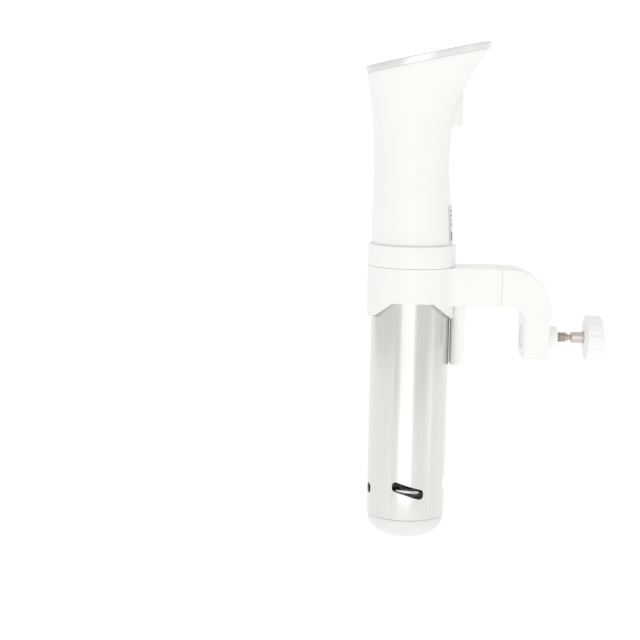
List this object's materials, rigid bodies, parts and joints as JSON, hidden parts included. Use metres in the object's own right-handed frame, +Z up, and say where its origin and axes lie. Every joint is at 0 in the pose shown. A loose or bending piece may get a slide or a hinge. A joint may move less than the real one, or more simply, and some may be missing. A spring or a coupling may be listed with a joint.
{
  "type": "sous vide circulator",
  "caption": "Stick-shaped immersion circulator: flared white head with slanted top panel, steel skirt tube with outlet slots, and an over-the-rim clamp with a thumb screw.",
  "frame": {"origin": "on the underside of the clamp arm, in the middle of the land that the pot's rim bears on", "axes": "+Z up along the skirt tube, +X from the tube towards the clamp's thumb screw"},
  "size_m": [0.1847, 0.066, 0.3751],
  "materials": {
    "white_plastic": "satin, fine moulded grain",
    "cap_plastic": "satin",
    "cream_plastic": "satin",
    "black_plastic": "matt",
    "circuit_board": "solder mask",
    "grey_label": null,
    "silver_trim": "satin silver",
    "brushed_tube": "brushed along its length",
    "bright_steel": "bright stainless",
    "screw_steel": "bright stainless",
    "motor_steel": "zinc plated",
    "bare_aluminium": "extruded",
    "bearing_bronze": "turned",
    "copper_winding": "wound and varnished",
    "seal_rubber": "matt",
    "dark_glass": "polished black panel"
  },
  "bodies": {
    "clamp": {"clamp_arm": "white_plastic", "clamp_jaw": "white_plastic", "jaw_bolt_1": "bright_steel", "jaw_bolt_2": "bright_steel", "threaded_insert": "bearing_bronze"},
    "carrier": {"seat_washer": "seal_rubber"},
    "circulator": {"upper_housing": "white_plastic", "top_bezel": "silver_trim", "touch_glass": "dark_glass", "panel_gasket": "seal_rubber", "display_board": "circuit_board", "digit_module": "black_plastic", "buzzer": "black_plastic", "inlet_shroud": "cream_plastic", "rating_label": "grey_label", "collar": "white_plastic", "bulkhead": "black_plastic", "bulkhead_seal": "seal_rubber", "inner_chassis": "black_plastic", "power_board": "circuit_board", "transformer": "copper_winding", "filter_capacitor": "black_plastic", "heat_sink": "bare_aluminium", "heater_relay": "black_plastic", "terminal_block": "cream_plastic", "board_screw_1": "bright_steel", "board_screw_2": "bright_steel", "board_screw_3": "bright_steel", "board_screw_4": "bright_steel", "stack_screw_1": "bright_steel", "stack_screw_2": "bright_steel", "stack_screw_3": "bright_steel", "motor_can": "motor_steel", "motor_magnets": "black_plastic", "motor_end_bell": "bare_aluminium", "motor_bearing": "bearing_bronze", "shaft_bearing": "bright_steel", "shaft_seal": "seal_rubber", "heater_coil": "bright_steel", "temperature_probe": "bright_steel", "level_electrode_low": "bright_steel", "level_electrode_high": "bright_steel"},
    "rotor": {"drive_shaft": "bright_steel", "motor_rotor": "copper_winding", "impeller": "cap_plastic", "impeller_nut": "bright_steel"},
    "sleeve": {"skirt_tube": "brushed_tube"},
    "cap": {"end_cap": "cap_plastic", "cap_seal": "seal_rubber"},
    "pad": {"pressure_pad": "cap_plastic"},
    "screw": {"clamp_screw": "screw_steel", "knob": "white_plastic"}
  },
  "joints": [
    {"name": "lift_out", "type": "slide", "parent": "clamp", "child": "carrier", "axis": [0, 0, 1], "range_m": [0, 0.215]},
    {"name": "head_swivel", "type": "hinge", "parent": "carrier", "child": "circulator", "pos_m": [-0.0535, 0, 0.0288], "axis": [0, 0, 1], "continuous": true},
    {"name": "impeller_spin", "type": "hinge", "parent": "circulator", "child": "rotor", "pos_m": [-0.0535, 0, 0.04], "axis": [0, 0, 1], "continuous": true},
    {"name": "sleeve_pull", "type": "slide", "parent": "circulator", "child": "sleeve", "axis": [0, 0, -1], "range_m": [0, 0.205]},
    {"name": "cap_pull", "type": "slide", "parent": "sleeve", "child": "cap", "axis": [0, 0, -1], "range_m": [0, 0.03]},
    {"name": "screw_feed", "type": "slide", "parent": "clamp", "child": "pad", "axis": [-1, 0, 0], "range_m": [0, 0.0195]},
    {"name": "screw_turn", "type": "hinge", "parent": "pad", "child": "screw", "pos_m": [0.04, 0, -0.024], "axis": [-1, 0, 0], "range_deg": [0, 5625]}
  ],
  "couplings": [
    {"joint": "screw_turn", "follows": "screw_feed", "rad_per_m": 5026.5}
  ]
}
